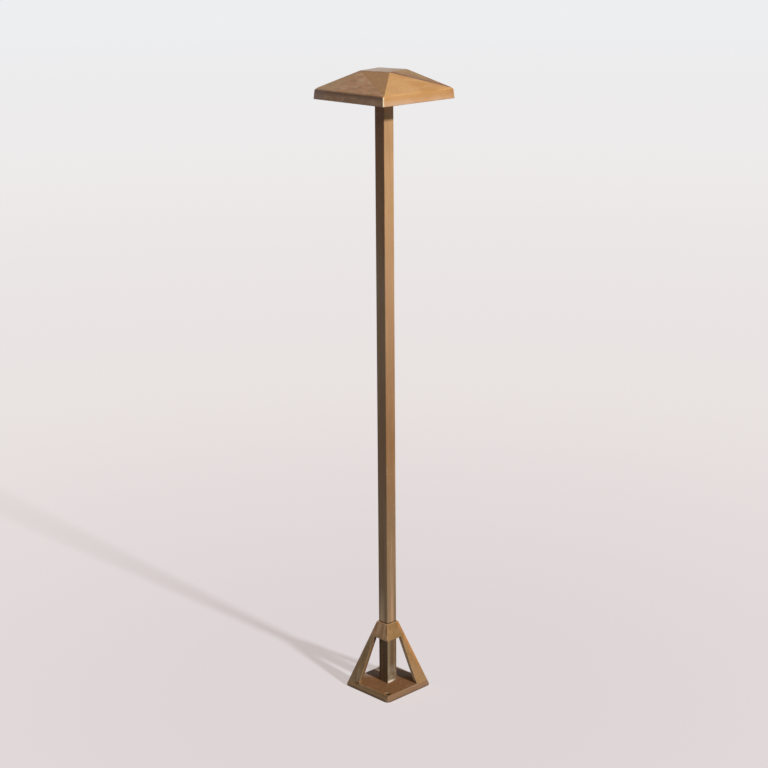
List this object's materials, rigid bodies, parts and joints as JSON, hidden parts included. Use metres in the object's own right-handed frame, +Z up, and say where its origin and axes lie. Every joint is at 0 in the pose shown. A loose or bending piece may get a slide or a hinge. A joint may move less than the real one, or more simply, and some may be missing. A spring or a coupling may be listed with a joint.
{
  "type": "garden post light",
  "caption": "Slim square garden post light: cast pyramid hat over a lens and bi-pin lamp, tall square tube, open pyramid base with legs on opposite corners, and screw-down holes.",
  "frame": {"origin": "centre of the base's underside, on the surface that it stands on", "axes": "+Z up along the post; X and Y square to the post's faces; the base's two legs stand on the corners (-X, -Y) and (+X, +Y)"},
  "size_m": [0.1414, 0.1414, 0.9433],
  "materials": {
    "cast_bronze": "sand cast, aged to a mottled satin brown",
    "tube_bronze": "drawn tube, aged satin brown with fine lengthwise streaks",
    "raw_brass": "machined, lightly dulled",
    "contact_brass": "stamped, bright",
    "zinc_steel": "zinc plated",
    "dark_steel": "blackened socket screws",
    "pin_steel": "tinned",
    "black_rubber": "moulded, matt",
    "silicone": "moulded red silicone",
    "lead_sleeve": "silicone sleeving",
    "splice_nylon": "natural nylon",
    "socket_ceramic": "unglazed, cream",
    "lens_glass": "clear, lightly frosted",
    "lamp_white": "moulded white",
    "lamp_phosphor": "yellow phosphor under clear resin",
    "white_sheet": "white powder coat on thin aluminium sheet"
  },
  "bodies": {
    "post": {"base_casting": "cast_bronze", "stem_tube": "tube_bronze", "stem_foot": "raw_brass", "foot_washer": "zinc_steel", "foot_nut": "raw_brass", "inlet_bushing": "black_rubber", "collar_screws": "dark_steel", "lead_wires": "lead_sleeve", "lead_splices": "splice_nylon", "lamp_hub": "raw_brass", "hub_screws": "dark_steel", "lamp_socket": "socket_ceramic", "socket_contacts": "contact_brass", "lens_gasket": "silicone"},
    "hat": {"hat_shell": "cast_bronze", "reflector": "white_sheet", "hat_posts": "raw_brass"},
    "lens": {"lens_glass": "lens_glass"},
    "ring": {"lens_ring": "raw_brass"},
    "lamp": {"lamp_body": "lamp_white", "lamp_pins": "pin_steel", "lamp_chips": "lamp_phosphor"},
    "washer_left": {"thumb_washer_left": "splice_nylon"},
    "thumb_left": {"thumb_screw_left": "raw_brass"},
    "washer_right": {"thumb_washer_right": "splice_nylon"},
    "thumb_right": {"thumb_screw_right": "raw_brass"}
  },
  "joints": [
    {"name": "hat_lift", "type": "slide", "parent": "post", "child": "hat", "axis": [0, 0, 1], "range_m": [0, 0.05]},
    {"name": "lens_lift", "type": "slide", "parent": "post", "child": "lens", "axis": [0, 0, 1], "range_m": [0, 0.003]},
    {"name": "lens_ring_turn", "type": "hinge", "parent": "lens", "child": "ring", "pos_m": [0, 0, 0.906], "axis": [0, 0, 1], "range_deg": [0, 720]},
    {"name": "lamp_pull", "type": "slide", "parent": "post", "child": "lamp", "axis": [0, 0, 1], "range_m": [0, 0.0065]},
    {"name": "left_screw_travel", "type": "slide", "parent": "post", "child": "washer_left", "axis": [-1, 0, 0], "range_m": [0, 0.0021]},
    {"name": "left_screw_turn", "type": "hinge", "parent": "washer_left", "child": "thumb_left", "pos_m": [-0.025, -0.016, 0.8995], "axis": [-1, 0, 0], "range_deg": [0, 1080]},
    {"name": "right_screw_travel", "type": "slide", "parent": "post", "child": "washer_right", "axis": [0, 1, 0], "range_m": [0, 0.0021]},
    {"name": "right_screw_turn", "type": "hinge", "parent": "washer_right", "child": "thumb_right", "pos_m": [0.016, 0.025, 0.8995], "axis": [0, 1, 0], "range_deg": [0, 1080]}
  ],
  "couplings": [
    {"joint": "lens_ring_turn", "follows": "lens_lift", "rad_per_m": 4188.8},
    {"joint": "left_screw_turn", "follows": "left_screw_travel", "rad_per_m": 8976},
    {"joint": "right_screw_turn", "follows": "right_screw_travel", "rad_per_m": 8976}
  ]
}
